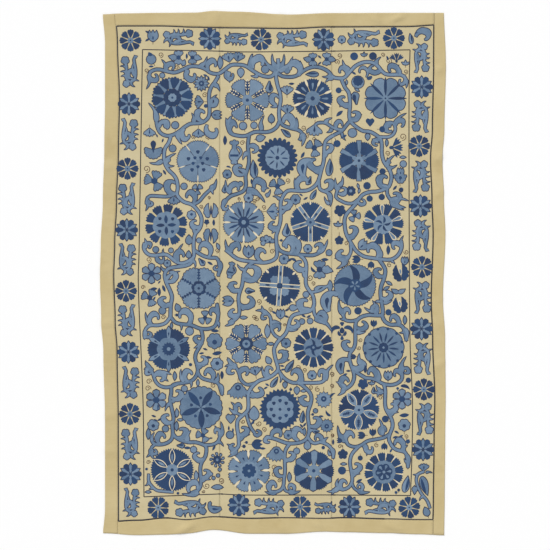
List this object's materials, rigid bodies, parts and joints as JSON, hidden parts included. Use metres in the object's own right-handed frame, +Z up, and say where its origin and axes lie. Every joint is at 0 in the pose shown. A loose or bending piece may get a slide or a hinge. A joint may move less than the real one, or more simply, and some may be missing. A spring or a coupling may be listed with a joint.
{
  "type": "suzani embroidered textile",
  "caption": "Flat embroidered cotton hanging or bedcover, sewn from loom-width panels with plain edging strips, laid face up.",
  "frame": {"origin": "under the middle of the cloth, on the surface it lies on", "axes": "+X across the cloth to the right, +Y along it towards its top as in the picture, +Z up out of its embroidered face"},
  "size_m": [1.4516, 2.201, 0.0103],
  "materials": {
    "ground_cloth": "plain-woven undyed cotton, yellowed, matt",
    "edging_cloth": "plain-woven cotton strip, deeper straw tone, matt",
    "light_thread": "laid and couched embroidery thread, mid blue, soft sheen",
    "dark_thread": "laid and couched embroidery thread, deep blue, soft sheen",
    "pale_thread": "cream embroidery thread, soft sheen",
    "outline_thread": "chain-stitched outline thread, navy",
    "frame_thread": "chain-stitched frame lines, near-black",
    "tendril_thread": "fine brown tendril stitches"
  },
  "bodies": {
    "root": {"panel_left": "ground_cloth", "panel_middle": "ground_cloth", "panel_right": "ground_cloth", "edging_left": "edging_cloth", "edging_right": "edging_cloth", "edging_bottom": "edging_cloth", "edging_top": "edging_cloth"}
  },
  "joints": []
}
